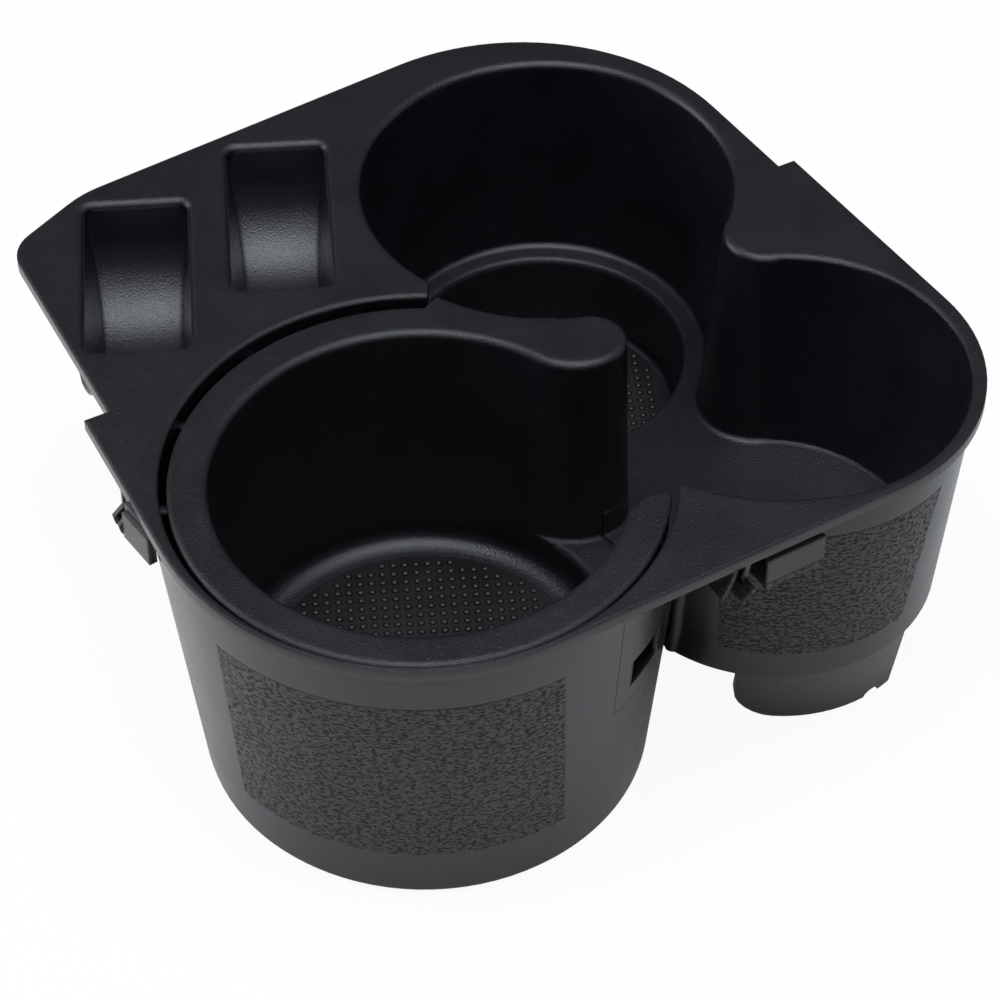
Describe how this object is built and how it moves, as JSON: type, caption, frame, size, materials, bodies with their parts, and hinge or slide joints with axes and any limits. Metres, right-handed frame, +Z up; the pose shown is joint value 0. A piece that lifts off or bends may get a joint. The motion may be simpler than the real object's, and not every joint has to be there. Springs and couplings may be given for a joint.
{
  "type": "cup holder insert",
  "caption": "Moulded car console insert with deep round cup wells that open into each other, a drop-in cup liner with a side mouth, and small rounded coin pockets.",
  "frame": {"origin": "centre of the bounding box on the plane the pot stands on", "axes": "+Z up out of the wells, +Y from the front cup towards the rear well, +X towards the right well"},
  "size_m": [0.2168, 0.2054, 0.081],
  "materials": {
    "tub": "fine satin grain",
    "liner": "fine satin grain",
    "mat": "matt with small raised dots"
  },
  "bodies": {
    "root": {"tub": "tub", "liner": "liner", "liner_mat": "mat", "rear_mat": "mat"}
  },
  "joints": []
}
